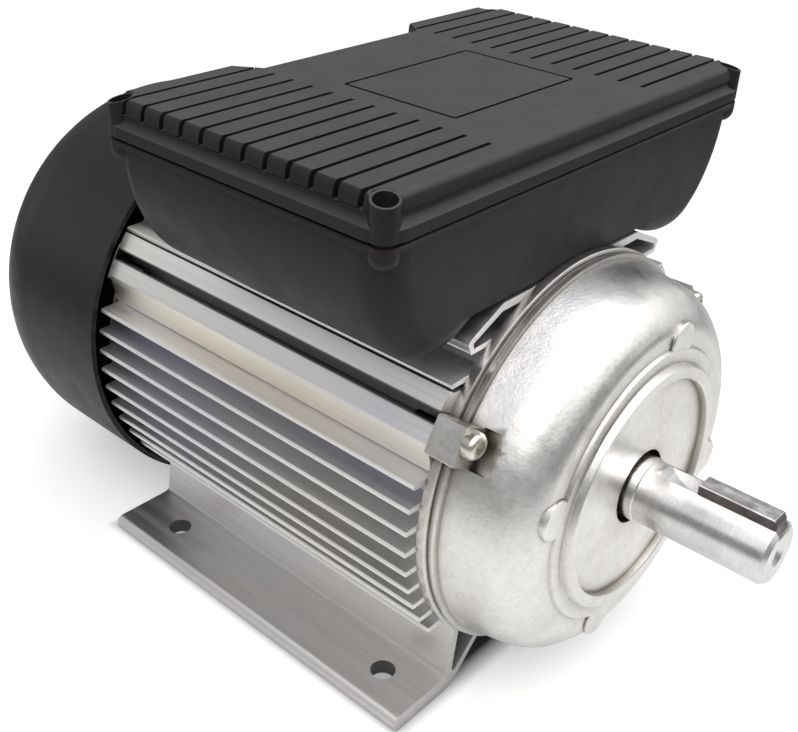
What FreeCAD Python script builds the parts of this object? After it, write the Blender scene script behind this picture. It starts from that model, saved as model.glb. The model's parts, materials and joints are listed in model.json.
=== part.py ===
import FreeCAD, Part
import math
import os
from FreeCAD import Vector as V, Placement, Rotation

# Single-phase, foot-mounted, fan-cooled electric motor with a two-capacitor
# terminal box.  Frame axes: +X along the shaft towards the drive end, +Z up,
# origin at the centre of the foot bolt pattern on the foot plane (z = 0).
# All dimensions are in millimetres.

os.makedirs("parts", exist_ok=True)

# ---------------------------------------------------------------- dimensions
H = 90.0                 # shaft height above the foot plane
A_FOOT = 140.0           # bolt spacing across
B_FOOT = 125.0           # bolt spacing along
K_HOLE = 10.0            # foot bolt hole diameter
D_SHAFT = 24.0           # shaft extension diameter
E_SHAFT = 50.0           # shaft extension length
X_SHOULDER = 125.5       # shoulder of the shaft extension
X_SHAFT_END = X_SHOULDER + E_SHAFT
KEY_W, KEY_H, KEY_T = 8.0, 7.0, 4.0
KEY_ANGLE = 90.0         # angle of the key about +X, from +Y towards +Z

X_REAR = -88.0           # rear end of the frame extrusion
X_FRONT = 82.8           # front end of the frame extrusion
R_BORE = 68.0            # frame bore
R_BODY = 74.0            # frame body outside, at the fin roots
R_FIN = 85.2             # circle through the fin tips
FIN_Z = [112.4 - 8.96 * k for k in range(9)]
R_SCREW = 81.0           # end shield screw circle
SCREW_ANGLES = (30.0, 150.0, 270.0)
R_COVER = 88.8           # fan cover outside
T_COVER = 2.2
X_COVER_FRONT = -88.6
X_COVER_REAR = -182.4
RC_COVER = 43.9          # shoulder radius of the fan cover

X_BOX0, X_BOX1 = -41.6, 84.2     # terminal box base at its rim
X_LID0, X_LID1 = -43.4, 85.4     # lid outline
Y_LID = 102.7
Z_SPLIT = 203.5
Z_LID_TOP = 217.6
Z_PLATE = 165.5          # top of the frame's mounting plate
GROOVE_X = [73.65 - 9.63 * k for k in range(12)]
BOSS_X = (80.2, -37.5)
BOSS_Y = 97.8
X_LEAD = 64.0            # lead hole from the windings into the box
BOX_SCREW_X = (-25.0, 45.0)

# bearing 6205, both ends
BRG_BORE, BRG_OD, BRG_W = 25.0, 52.0, 15.0
BRG_BALL, BRG_PITCH, BRG_N = 7.9, 38.5, 9
X_BRG_D = 98.5           # drive bearing, inner side
X_BRG_R = -98.0          # rear bearing, inner side (extends towards -X)

X_CORE0, X_CORE1 = -57.0, 53.0
R_ROTOR = 39.5
R_STATOR_IN = 40.0


# ------------------------------------------------------------------- helpers
def cyl(x0, x1, r, y=0.0, z=H):
    a, b = min(x0, x1), max(x0, x1)
    return Part.makeCylinder(r, b - a, V(a, y, z), V(1, 0, 0))


def ring(x0, x1, ro, ri, y=0.0, z=H):
    a, b = min(x0, x1), max(x0, x1)
    return cyl(a, b, ro, y, z).cut(cyl(a - 1, b + 1, ri, y, z))


def cylz(x, y, z0, z1, r):
    return Part.makeCylinder(r, z1 - z0, V(x, y, z0), V(0, 0, 1))


def cyly(x, y0, y1, z, r):
    return Part.makeCylinder(r, y1 - y0, V(x, y0, z), V(0, 1, 0))


def box(x0, x1, y0, y1, z0, z1):
    return Part.makeBox(x1 - x0, y1 - y0, z1 - z0, V(x0, y0, z0))


def prism(pts, x0, x1):
    w = Part.makePolygon([V(x0, y, z) for y, z in pts] + [V(x0, pts[0][0], pts[0][1])])
    return Part.Face(w).extrude(V(x1 - x0, 0, 0))


def prismz(pts, z0, z1):
    w = Part.makePolygon([V(x, y, z0) for x, y in pts] + [V(pts[0][0], pts[0][1], z0)])
    return Part.Face(w).extrude(V(0, 0, z1 - z0))


def revolve(pts):
    w = Part.makePolygon([V(x, 0, H + r) for x, r in pts] + [V(pts[0][0], 0, H + pts[0][1])])
    return Part.Face(w).revolve(V(0, 0, H), V(1, 0, 0), 360)


def rotx(shape, deg):
    s = shape.copy()
    s.rotate(V(0, 0, H), V(1, 0, 0), deg)
    return s


def pol(r, deg):
    a = math.radians(deg)
    return r * math.cos(a), H + r * math.sin(a)


def rrect(x0, x1, y0, y1, r, z):
    # closed wire of a rounded rectangle in a horizontal plane
    e = []
    c = [(x1 - r, y1 - r, 0), (x0 + r, y1 - r, 90), (x0 + r, y0 + r, 180), (x1 - r, y0 + r, 270)]
    pts = []
    for cx, cy, a0 in c:
        p = [V(cx + r * math.cos(math.radians(a0 + d)), cy + r * math.sin(math.radians(a0 + d)), z) for d in (0, 45, 90)]
        pts.append(p)
    for i in range(4):
        p, q = pts[i], pts[(i + 1) % 4]
        e.append(Part.Arc(p[0], p[1], p[2]).toShape())
        e.append(Part.LineSegment(p[2], q[0]).toShape())
    return Part.Wire(e)


def rblock(x0, x1, y0, y1, z0, z1, r):
    return Part.Face(rrect(x0, x1, y0, y1, r, z0)).extrude(V(0, 0, z1 - z0))


def loft(sections, ruled=True):
    return Part.makeLoft(sections, True, ruled)


def fuse(shapes):
    s = shapes[0]
    if len(shapes) > 1:
        s = s.multiFuse(shapes[1:])
    return s.removeSplitter()


def chamfer_edges(shape, test, d):
    ed = [e for e in shape.Edges if test(e)]
    return shape.makeChamfer(d, ed) if ed else shape


def fillet_edges(shape, test, r):
    ed = [e for e in shape.Edges if test(e)]
    return shape.makeFillet(r, ed) if ed else shape


PARTS = {}


def put(name, shape):
    PARTS[name] = shape


# --------------------------------------------------------- frame extrusion
def mirror_pts(pts):
    return [(-y, z) for y, z in pts]


def both(pts):
    return [prism(pts, X_REAR, X_FRONT), prism(mirror_pts(pts), X_REAR, X_FRONT)]


solids = [cyl(X_REAR, X_FRONT, R_BODY)]
# horizontal cooling fins, slightly tapered towards the tip
for z in FIN_Z:
    dz = z - H
    yi = math.sqrt(71.0 ** 2 - dz * dz)
    yo = math.sqrt(R_FIN ** 2 - dz * dz)
    solids += both([(yi, z - 1.6), (yo - 0.5, z - 1.0), (yo, z - 0.5), (yo, z + 0.5), (yo - 0.5, z + 1.0), (yi, z + 1.6)])
# two upper fins above the screw channel
for z, lift in ((144.0, 0.0), (153.2, 0.0)):
    dz = z - H
    yi = math.sqrt(max(70.0 ** 2 - dz * dz, 400.0))
    yo = math.sqrt(R_FIN ** 2 - dz * dz)
    solids += both([(yi, z - 1.1), (yo - 0.4, z - 0.9), (yo, z - 0.4), (yo, z + 0.6), (yo - 0.4, z + 0.9), (yi, z + 1.1)])
# screw channel body on each shoulder
arc = [pol(R_FIN, a) for a in [25.8 + 1.27 * k for k in range(11)]]
solids += both([(70.0, 112.0), (73.8, 114.6), (76.2, 126.2)] + arc + [(64.4, 141.4), (54.0, 139.4), (52.0, 134.0)])
# mounting plate, its sloping wings
solids += [box(X_REAR, X_FRONT, -41.0, 41.0, 162.6, Z_PLATE)]
solids += both([(39.0, Z_PLATE), (41.4, Z_PLATE), (57.0, 158.2), (58.6, 156.6), (57.4, 153.6), (55.6, 153.4), (55.9, 156.2), (40.2, 163.2)])
# feet: flange, outer web, inner strut
solids += both([(86.0, 3.0), (85.6, 1.5), (84.5, 0.4), (83.0, 0.0), (56.0, 0.0), (53.9, 0.6), (51.3, 1.7), (28.0, 25.9), (30.2, 28.1),
                (50.6, 7.0), (52.6, 8.6), (49.0, 38.0), (51.6, 40.0), (53.4, 30.5), (56.1, 9.6), (56.8, 7.6), (58.4, 7.0), (83.0, 7.0), (84.5, 6.6), (85.6, 5.5), (86.0, 4.0)])
# bottom screw channel and short bottom fins
solids += [prism([(-7.4, 22.0), (-7.4, 5.5), (-6.4, 4.9), (6.4, 4.9), (7.4, 5.5), (7.4, 22.0)], X_REAR, X_FRONT)]
for y in (15.5, 24.0):
    zb = H - math.sqrt(83.0 ** 2 - y * y)
    zt = H - math.sqrt(71.0 ** 2 - y * y)
    solids += both([(y - 1.1, zb), (y + 1.1, zb), (y + 1.4, zt), (y - 1.4, zt)])
frame = fuse(solids)
frame = frame.cut(cyl(X_REAR - 1, X_FRONT + 1, R_BORE))
cuts = []
for a in SCREW_ANGLES:
    y, z = pol(R_SCREW, a)
    cuts.append(cyl(X_REAR - 1, X_FRONT + 1, 2.6, y, z))
# open slots of the screw channels
for a in (32.1, 147.9, 270.0):
    s = box(X_REAR - 1, X_FRONT + 1, 76.5, 90.0, H - 2.0, H + 2.0)
    cuts.append(rotx(s, a))
for sx in (-1, 1):
    for sy in (-1, 1):
        cuts.append(cylz(sx * B_FOOT / 2, sy * A_FOOT / 2, -2, 20, K_HOLE / 2))
cuts.append(cylz(X_LEAD, 0, 150, 170, 9.0))
for x in BOX_SCREW_X:
    for y in (-30.0, 30.0):
        cuts.append(cylz(x, y, 159.5, 170, 2.5))
frame = frame.cut(Part.makeCompound(cuts))
put("stator_frame", frame)

# --------------------------------------------------------- drive end shield
dome_o = [(90.0, 76.4), (93.0, 75.7), (100.0, 74.5), (107.0, 73.0), (111.0, 71.3), (114.0, 68.9), (117.0, 65.8), (119.2, 62.4), (120.0, 59.6)]
dome_i = [(116.4, 53.0), (115.9, 58.6), (114.2, 62.4), (111.6, 65.4), (108.2, 67.8), (104.6, 69.2), (99.0, 70.4), (94.0, 71.2), (89.5, 71.6)]


def spline_edge(pts):
    c = Part.BSplineCurve()
    c.interpolate([V(x, 0, H + r) for x, r in pts])
    return c.toShape()


def line_edges(pts):
    return [Part.LineSegment(V(a[0], 0, H + a[1]), V(b[0], 0, H + b[1])).toShape() for a, b in zip(pts[:-1], pts[1:])]


front = [dome_o[-1], (120.1, 54.4), (120.9, 53.9), (121.3, 53.5), (121.3, 49.5), (121.6, 48.9), (123.5, 48.0), (124.0, 47.5), (124.0, 43.6), (123.7, 43.2),
         (121.3, 42.9), (121.3, 14.7), (117.0, 14.7), (117.0, 19.0), (X_BRG_D + BRG_W, 19.0), (X_BRG_D + BRG_W, 26.0), (96.5, 26.0),
         (96.0, 26.5), (96.0, 31.0), (97.0, 32.0), (112.5, 33.5), (116.6, 38.0), dome_i[0]]
back = [dome_i[-1], (88.0, 71.6), (86.0, 63.6), (76.5, 63.6), (76.0, 64.1), (76.0, 67.4), (76.5, 67.95), (X_FRONT, 67.95), (X_FRONT, 79.2), (85.9, 79.2),
        (86.4, 78.7), (86.7, 77.6), (88.0, 77.6), (88.4, 78.3), (89.8, 78.3), dome_o[0]]
edges = [spline_edge(dome_o)] + line_edges(front) + [spline_edge(dome_i)] + line_edges(back)
face = Part.Face(Part.Wire(Part.__sortEdges__(edges)))
shield = face.revolve(V(0, 0, H), V(1, 0, 0), 360)
X_LUG = 94.6
adds = []


def local(a_mid, u, v):
    # point at radius u along the ray a_mid and v across it
    c, q = math.cos(math.radians(a_mid)), math.sin(math.radians(a_mid))
    return u * c - v * q, H + u * q + v * c


def lug(a_mid, x0, x1, r_in, r_out, hw=7.0):
    # parallel-sided screw lug with a curved outer face
    pts = [(r_in, -hw), (r_out - 0.9, -hw)]
    for v in (-(hw - 0.5), -hw / 2, 0.0, hw / 2, hw - 0.5):
        pts.append((math.sqrt(r_out ** 2 - v ** 2), v))
    pts += [(r_out - 0.9, hw), (r_in, hw)]
    return prism([local(a_mid, u, v) for u, v in pts], min(x0, x1), max(x0, x1))


LUG_ANGLES = (28.7, 151.3, 270.0)
for a in LUG_ANGLES:
    adds.append(lug(a, X_FRONT, X_LUG, 73.5, 85.5, 7.1))
for a in (75.0, 165.0, 255.0, 345.0):
    y, z = pol(56.2, a)
    p = Part.makeCylinder(7.5, 8.9, V(112.3, y, z), V(1, 0, 0))
    p = p.makeChamfer(0.5, [e for e in p.Edges if e.Length > 40 and e.CenterOfMass.x > 121.1 and len(e.Vertexes) == 1])
    adds.append(p)
shield = fuse([shield] + adds)
cuts = []
for a in SCREW_ANGLES:
    y, z = pol(R_SCREW, a)
    cuts.append(cyl(80, 110, 3.2, y, z))
    cuts.append(cyl(X_LUG, 104, 5.4, y, z))
for a in LUG_ANGLES:
    # spot face in front of the lug, running out into the dome
    w = [V(x, u, H - 7.6) for x, u in ((X_LUG, 72.6), (X_LUG, 92.0), (X_LUG + 15.0, 92.0), (X_LUG + 15.0, 75.6))]
    w = Part.Face(Part.makePolygon(w + [w[0]])).extrude(V(0, 0, 15.2))
    cuts.append(rotx(w, a))
shield = shield.cut(Part.makeCompound(cuts))
put("drive_end_shield", shield)

# --------------------------------------------------------- rear end shield
pr = [(-82.0, 67.4), (-82.5, 67.95), (X_REAR, 67.95), (X_REAR, 79.6), (-92.5, 79.6), (-94.5, 77.6), (-99.0, 72.0), (-104.6, 58.0), (-106.5, 40.0), (-110.0, 34.0),
      (-117.0, 32.0), (-118.0, 31.0), (-118.0, 10.6), (-114.6, 10.6), (-114.6, 26.0), (-96.5, 26.0), (-96.5, 31.0), (-101.0, 33.0), (-101.2, 54.0),
      (-97.0, 64.0), (-95.0, 66.0), (-90.0, 66.0), (-88.5, 63.6), (-82.0, 63.6)]
rear = revolve(pr)
adds = []
for a in SCREW_ANGLES:
    adds.append(lug(a, X_REAR, -98.0, 70.0, 85.3, 7.6))
for a in (60.0, 120.0, 240.0, 300.0):
    adds.append(lug(a, -91.5, -103.0, 66.0, 86.3, 6.8))
# two bosses for the start switch plate
for a in (65.0, 115.0):
    y, z = pol(52.0, a)
    adds.append(cyl(-102.5, -96.5, 4.0, y, z))
rear = fuse([rear] + adds)
cuts = []
for a in SCREW_ANGLES:
    y, z = pol(R_SCREW, a)
    cuts.append(cyl(-110, -86, 3.2, y, z))
for a in (60.0, 120.0, 240.0, 300.0):
    c = Part.makeCylinder(2.1, 14.0, V(-97.2, 0, H + 74.5), V(0, 0, 1))
    cuts.append(rotx(c, a - 90.0))
for a in (65.0, 115.0):
    y, z = pol(52.0, a)
    cuts.append(cyl(-101.0, -95.5, 1.6, y, z))
rear = rear.cut(Part.makeCompound(cuts))
put("rear_end_shield", rear)


# --------------------------------------------------------- socket head screws
def socket_screw(x_head, sgn, y, z, head_r, head_h, r, length, hexaf, dome=0.0):
    # sgn +1: head points to +X and the shank runs to -X
    hd = cyl(x_head, x_head + sgn * head_h, head_r, y, z)
    far = x_head + sgn * head_h
    rim = [e for e in hd.Edges if abs(e.CenterOfMass.x - far) < 0.01 and len(e.Vertexes) == 1]
    hd = hd.makeFillet(dome, rim) if dome else hd.makeChamfer(0.45, rim)
    sh = cyl(x_head, x_head - sgn * length, r, y, z)
    s = hd.fuse(sh)
    rr = hexaf / math.sqrt(3)
    pts = [(y + rr * math.cos(math.radians(60 * k + 15)), z + rr * math.sin(math.radians(60 * k + 15))) for k in range(6)]
    hx = prism(pts, min(far, far - sgn * head_h * 0.6), max(far + sgn, far - sgn * head_h * 0.6))
    return s.cut(hx).removeSplitter()


sc = []
for a in SCREW_ANGLES:
    y, z = pol(R_SCREW, a)
    sc.append(socket_screw(X_LUG, 1, y, z, 4.8, 4.7, 2.5, 22.0, 4.3, 2.1))
put("drive_end_screws", Part.makeCompound(sc))
sc = []
for a in SCREW_ANGLES:
    y, z = pol(R_SCREW, a)
    sc.append(socket_screw(-98.0, -1, y, z, 5.0, 6.0, 2.5, 26.0, 5.0))
put("rear_end_screws", Part.makeCompound(sc))

# --------------------------------------------------------- shaft and key
shaft = fuse([
    revolve([(-146.0, 0), (-146.0, 8.2), (-145.2, 9.0), (-139.9, 9.0), (-139.9, 8.4), (-138.6, 8.4), (-138.6, 9.0), (-120.2, 9.0), (-120.2, 10.0), (-113.0, 10.0),
             (-113.0, 12.5), (-98.0, 12.5), (-98.0, 14.0), (-71.5, 14.0), (-71.5, 17.0), (66.5, 17.0), (66.5, 15.0), (98.5, 15.0), (98.5, 12.5),
             (X_SHOULDER - 0.4, 12.5), (X_SHOULDER, 12.0), (X_SHAFT_END - 1.5, 12.0), (X_SHAFT_END, 10.5), (X_SHAFT_END, 0)])])
X_KEY0, X_KEY1 = 144.8, X_SHAFT_END - 1.6
r_floor = D_SHAFT / 2 - KEY_T
way = box(X_KEY0 - 0.2, X_SHAFT_END + 2, -KEY_W / 2, KEY_W / 2, H + r_floor, H + 20)
# sled-runner run-out cut by a side cutter
run = Part.makeCylinder(32.0, KEY_W, V(X_KEY0, -KEY_W / 2, H + r_floor + 32.0), V(0, 1, 0))
run = run.common(box(X_KEY0 - 30, X_KEY0, -KEY_W / 2, KEY_W / 2, H, H + 20))
shaft = shaft.cut(rotx(way.fuse(run), KEY_ANGLE - 90.0))
# centre hole in the end face
shaft = shaft.cut(fuse([cyl(X_SHAFT_END - 9, X_SHAFT_END + 1, 2.5), revolve([(X_SHAFT_END - 3.2, 0), (X_SHAFT_END + 0.01, 4.6), (X_SHAFT_END + 0.01, 0)])]))
put("shaft", shaft)
k_top = H + r_floor + KEY_H
w = [V(x, -KEY_W / 2, z) for x, z in ((X_KEY0, H + r_floor), (X_KEY1, H + r_floor), (X_KEY1, k_top - 2.2), (X_KEY1 - 1.3, k_top), (X_KEY0, k_top))]
key = Part.Face(Part.makePolygon(w + [w[0]])).extrude(V(0, KEY_W, 0))
key = key.makeChamfer(0.4, [e for e in key.Edges if abs(e.CenterOfMass.z - k_top) < 0.01 and e.Length > 20])
put("shaft_key", rotx(key, KEY_ANGLE - 90.0))
# oil seal behind the front wall
seal = revolve([(113.6, 18.95), (116.9, 18.95), (116.9, 12.9), (116.2, 12.56), (115.4, 13.2), (115.4, 16.6), (113.6, 16.6)])
put("shaft_seal", seal)

# --------------------------------------------------------- rotor
NB = 28
core = cyl(X_CORE0, X_CORE1, R_ROTOR).cut(cyl(X_CORE0 - 1, X_CORE1 + 1, 17.0))
bars = []
holes = []
for k in range(NB):
    y, z = pol(35.6, 360.0 / NB * k)
    holes.append(cyl(X_CORE0 - 1, X_CORE1 + 1, 2.45, y, z))
    bars.append(cyl(X_CORE0 - 1, X_CORE1 + 1, 2.4, y, z))
core = core.cut(Part.makeCompound(holes))
put("rotor_core", core)
er = [revolve([(X_CORE1, 38.6), (X_CORE1 + 11, 37.6), (X_CORE1 + 12, 36.6), (X_CORE1 + 12, 27.5), (X_CORE1 + 11, 26.5), (X_CORE1, 26.0)]),
      revolve([(X_CORE0, 38.6), (X_CORE0 - 11, 37.6), (X_CORE0 - 12, 36.6), (X_CORE0 - 12, 27.5), (X_CORE0 - 11, 26.5), (X_CORE0, 26.0)])]
put("rotor_cage", fuse(er + bars))

# --------------------------------------------------------- stator core and windings
NS = 24
core = ring(X_CORE0, X_CORE1, R_BORE - 0.02, R_STATOR_IN)


def slot_prism(r0, r1, w0, w1, x0, x1, deg):
    s = prism([(r0, H - w0 / 2), (r1, H - w1 / 2), (r1, H + w1 / 2), (r0, H + w0 / 2)], x0, x1)
    return rotx(s, deg)


cuts = []
for k in range(NS):
    a = 360.0 / NS * (k + 0.5)
    cuts.append(slot_prism(38.0, 42.0, 2.6, 2.6, X_CORE0 - 1, X_CORE1 + 1, a))
    cuts.append(slot_prism(41.2, 56.0, 5.2, 8.8, X_CORE0 - 1, X_CORE1 + 1, a))
core = core.cut(fuse(cuts))
put("stator_core", core)
START_SLOTS = (2, 3, 8, 9, 14, 15, 20, 21)
mw, aw = [], []
for k in range(NS):
    a = 360.0 / NS * (k + 0.5)
    if k in START_SLOTS:
        aw.append(slot_prism(42.4, 49.8, 4.6, 6.4, X_CORE0 - 6.5, X_CORE1 + 6.5, a))
    else:
        mw.append(slot_prism(43.0, 55.6, 4.9, 8.0, X_CORE0 - 4, X_CORE1 + 4, a))


def end_turn(x0, x1, r0, r1, c=3.5):
    # rounded bundle of wires, revolved about the shaft axis
    a, b = min(x0, x1), max(x0, x1)
    return revolve([(a + c, r0), (b - c, r0), (b - c * 0.3, r0 + c * 0.3), (b, r0 + c), (b, r1 - c), (b - c * 0.3, r1 - c * 0.3), (b - c, r1),
                    (a + c, r1), (a + c * 0.3, r1 - c * 0.3), (a, r1 - c), (a, r0 + c), (a + c * 0.3, r0 + c * 0.3)])


mw += [end_turn(X_CORE1 + 3, X_CORE1 + 24, 51.2, 63.0), end_turn(X_CORE0 - 3, X_CORE0 - 22, 51.2, 63.0)]
aw += [end_turn(X_CORE1 + 5, X_CORE1 + 20, 42.8, 50.6, 2.5), end_turn(X_CORE0 - 5, X_CORE0 - 19, 42.8, 50.6, 2.5)]
put("main_winding", fuse(mw))
put("start_winding", fuse(aw))


# --------------------------------------------------------- ball bearings
def bearing(x0, sgn, prefix):
    xa = x0 if sgn > 0 else x0 - BRG_W
    xb = xa + BRG_W
    xm = (xa + xb) / 2
    rp = BRG_PITCH / 2
    outer = ring(xa, xb, BRG_OD / 2, 22.4)
    groove = Part.makeTorus(rp, BRG_BALL / 2 + 0.08, V(xm, 0, H), V(1, 0, 0))
    outer = outer.cut(groove)
    inner = ring(xa, xb, 15.9, BRG_BORE / 2).cut(groove)
    balls = []
    pockets = []
    for k in range(BRG_N):
        y, z = pol(rp, 360.0 / BRG_N * k + 90)
        balls.append(Part.makeSphere(BRG_BALL / 2, V(xm, y, z)))
        pockets.append(Part.makeSphere(BRG_BALL / 2 + 0.12, V(xm, y, z)))
    cage = ring(xm - 4.9, xm + 4.9, rp + 1.4, rp - 1.4)
    cage = cage.cut(Part.makeCompound(pockets))
    put(prefix + "_bearing_outer_ring", outer)
    put(prefix + "_bearing_inner_ring", inner)
    put(prefix + "_bearing_balls", Part.makeCompound(balls))
    put(prefix + "_bearing_cage", cage)


bearing(X_BRG_D, 1, "drive")
bearing(X_BRG_R, -1, "rear")
# preload wave washer behind the rear bearing
wv = ring(-114.5, -113.1, 25.4, 20.5)
put("wave_washer", wv)

# --------------------------------------------------------- centrifugal governor and start switch
hub = fuse([ring(-75.8, -71.6, 22.0, 14.0), box(-75.0, -72.0, -12.0, 12.0, H - 34.0, H + 34.0).cut(cyl(-80, -70, 14.0))]
           + [box(-87.0, -74.5, sy * 10.6 - 1.1, sy * 10.6 + 1.1, H + sz * 30.0 - 4.0, H + sz * 30.0 + 4.0) for sy in (-1, 1) for sz in (-1, 1)])
pinholes = Part.makeCompound([cyly(-84.0, -13, 13, H + 30.0, 1.5), cyly(-84.0, -13, 13, H - 30.0, 1.5)])
put("governor_hub", hub.cut(pinholes))
put("governor_pins", Part.makeCompound([cyly(-84.0, -11.7, 11.7, H + 30.0, 1.5), cyly(-84.0, -11.7, 11.7, H - 30.0, 1.5)]))


def weight(sz):
    b = fuse([box(-86.4, -77.2, -9.0, 9.0, H + 26.8, H + 36.0), box(-85.0, -83.0, -4.0, 4.0, H + 21.0, H + 27.5)])
    b = b.cut(cyly(-84.0, -13, 13, H + 30.0, 1.56))
    return b if sz > 0 else rotx(b, 180)


put("governor_weight_upper", weight(1))
put("governor_weight_lower", weight(-1))
collar = fuse([ring(-92.0, -80.5, 18.0, 14.05), ring(-88.5, -86.0, 24.0, 14.05), ring(-82.0, -80.5, 24.0, 14.05)])
put("governor_collar", collar)
helix = Part.makeHelix(1.2, 3.6, 17.6)
prof = Part.Wire(Part.makeCircle(0.42, V(17.6, 0, 0), V(0, 1, 0)))
coil = Part.Wire(helix.Edges).makePipeShell([prof], True, True)
coil.rotate(V(0, 0, 0), V(0, 1, 0), 90)
coil.translate(V(-79.95, 0, H))
put("governor_spring", coil)
# stationary switch plate: arched insulating plate on two bosses
pl = ring(-96.5, -94.5, 58.0, 40.0)
keep = prism([(0, H)] + [pol(80.0, a) for a in (52, 64, 76, 90, 104, 116, 128)], -97.0, -94.0)
pl = pl.common(keep)
pl = fuse([pl, box(-95.0, -91.2, -12.0, -6.2, H + 43.0, H + 50.0), box(-95.0, -91.2, 6.2, 12.0, H + 43.0, H + 50.0)])
for a in (65.0, 115.0):
    y, z = pol(52.0, a)
    pl = pl.cut(cyl(-98, -93, 1.8, y, z))
pl = pl.cut(cyly(-92.6, -13, 13, H + 46.5, 0.8))
put("start_switch_plate", pl)
put("start_switch_pin", cyly(-92.6, -12.6, 12.6, H + 46.5, 0.8))
arm = fuse([box(-93.4, -91.8, -5.0, 5.0, H + 20.6, H + 49.0), box(-93.0, -89.1, -5.0, 5.0, H + 20.6, H + 23.0), cyly(-92.6, -5.0, 5.0, H + 46.5, 1.7)])
arm = arm.cut(cyly(-92.6, -13, 13, H + 46.5, 0.86))
put("start_switch_arm", arm)
sw = []
for a in (65.0, 115.0):
    y, z = pol(52.0, a)
    sw.append(socket_screw(-94.5, 1, y, z, 2.6, 2.2, 1.5, 5.5, 1.6))
put("start_switch_screws", Part.makeCompound(sw))

# --------------------------------------------------------- cooling fan, circlip
fan = [ring(-138.5, -120.3, 15.5, 9.0), revolve([(-124.0, 15.0), (-127.0, 15.0), (-127.0, 67.0), (-126.0, 69.0), (-124.0, 69.0)])]
for k in range(8):
    blade = prism([(14.5, H - 1.1), (74.0, H - 1.1), (74.0, H + 1.1), (14.5, H + 1.1)], -149.0, -125.0)
    # swept-back inner edge towards the air inlet
    blade = blade.cut(Part.Face(Part.makePolygon([V(-150, 10, H - 5), V(-128, 10, H - 5), V(-150, 48, H - 5), V(-150, 10, H - 5)])).extrude(V(0, 0, 10)))
    fan.append(rotx(blade, 45.0 * k))
fan = fuse(fan)
fan = fan.cut(cyl(-155, -115, 9.0))
put("cooling_fan", fan)
clip = ring(-139.8, -138.7, 13.0, 8.45).cut(box(-142, -138, -3.0, 3.0, H - 14, H - 7))
put("fan_circlip", clip)

# --------------------------------------------------------- fan cover
nseg = 10


def cover_profile(off):
    r = R_COVER - off
    rc = RC_COVER - off
    xc = X_COVER_REAR + RC_COVER
    pts = [(X_COVER_FRONT, r)]
    for i in range(nseg + 1):
        a = math.radians(90.0 / nseg * i)
        pts.append((xc - rc * math.sin(a), R_COVER - RC_COVER + rc * math.cos(a)))
    return pts


def cover_face(off, x_front):
    xc = X_COVER_REAR + RC_COVER
    r = R_COVER - off
    rc = RC_COVER - off
    ro = R_COVER - RC_COVER
    p0 = V(x_front, 0, H + r)
    p1 = V(xc, 0, H + r)
    pm = V(xc - rc * math.sin(math.radians(45)), 0, H + ro + rc * math.cos(math.radians(45)))
    p2 = V(xc - rc, 0, H + ro)
    p3 = V(xc - rc, 0, H)
    p4 = V(x_front, 0, H)
    e = [Part.LineSegment(p0, p1).toShape(), Part.Arc(p1, pm, p2).toShape(), Part.LineSegment(p2, p3).toShape(), Part.LineSegment(p3, p4).toShape(),
         Part.LineSegment(p4, p0).toShape()]
    return Part.Face(Part.Wire(e)).revolve(V(0, 0, H), V(1, 0, 0), 360)


cover = cover_face(0.0, X_COVER_FRONT).cut(cover_face(T_COVER, X_COVER_FRONT + 1.0))
# air inlet: rings of slots in the flat rear wall, left in six spokes
spokes = fuse([rotx(box(-184, -178, 8.0, 46.0, H - 2.2, H + 2.2), 60.0 * k + 30) for k in range(6)])
slots = [ring(-184, -179, ri + 3.6, ri) for ri in (11.0, 17.6, 24.2, 30.8, 37.4)]
slots = Part.makeCompound(slots).cut(spokes)
cover = cover.cut(slots)
cuts = []
for a in (60.0, 120.0, 240.0, 300.0):
    cuts.append(rotx(Part.makeCylinder(2.2, 14.0, V(-97.2, 0, H + 80)), a - 90.0))
cover = cover.cut(Part.makeCompound(cuts))
put("fan_cover", cover)
sc = []
for a in (60.0, 120.0, 240.0, 300.0):
    s = fuse([Part.makeCylinder(3.9, 2.2, V(-97.2, 0, H + R_COVER + 0.02)), Part.makeCylinder(2.0, 11.0, V(-97.2, 0, H + R_COVER - 11.0))])
    s = s.cut(box(-97.8, -96.6, -2.6, 2.6, H + R_COVER + 1.0, H + R_COVER + 3)).cut(box(-99.8, -94.6, -0.6, 0.6, H + R_COVER + 1.0, H + R_COVER + 3))
    sc.append(rotx(s, a - 90.0))
put("fan_cover_screws", Part.makeCompound(sc))


# --------------------------------------------------------- terminal box base
BOX_CURVE = [(46.0, 167.0), (50.5, 163.2), (56.0, 159.5), (63.0, 156.2), (70.5, 155.1), (76.5, 155.7), (81.5, 157.6), (86.5, 161.3), (91.0, 166.0),
             (96.4, 175.0), (99.0, 182.0), (100.6, 190.0), (101.2, 199.0)]


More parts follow.
